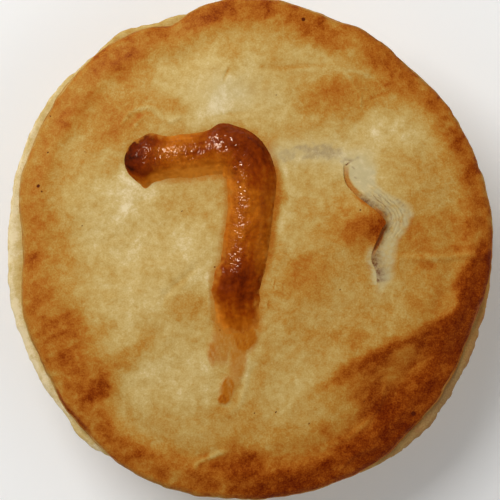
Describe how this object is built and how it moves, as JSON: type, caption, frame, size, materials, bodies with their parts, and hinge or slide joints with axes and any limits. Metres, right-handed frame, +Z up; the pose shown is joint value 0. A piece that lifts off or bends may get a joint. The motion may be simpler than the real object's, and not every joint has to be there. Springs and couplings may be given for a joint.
{
  "type": "steak and cheese pie",
  "caption": "Round single-serve savoury pie: tapered pastry base, domed browned lid with a torn steam vent, and a raised hooked mark piped on top.",
  "frame": {"origin": "on the surface that the pie stands on, under the middle of its outline", "axes": "+Z up, +Y towards the bar of the piped mark, +X towards the torn steam vent"},
  "size_m": [0.1166, 0.1196, 0.0413],
  "materials": {
    "base_pastry": "pale baked pastry, matte",
    "lid_pastry": "golden to dark brown glazed pastry, satin",
    "mark_batter": "dark browned glossy crust"
  },
  "bodies": {
    "root": {"pastry_base": "base_pastry", "pastry_lid": "lid_pastry", "piped_mark": "mark_batter"}
  },
  "joints": []
}
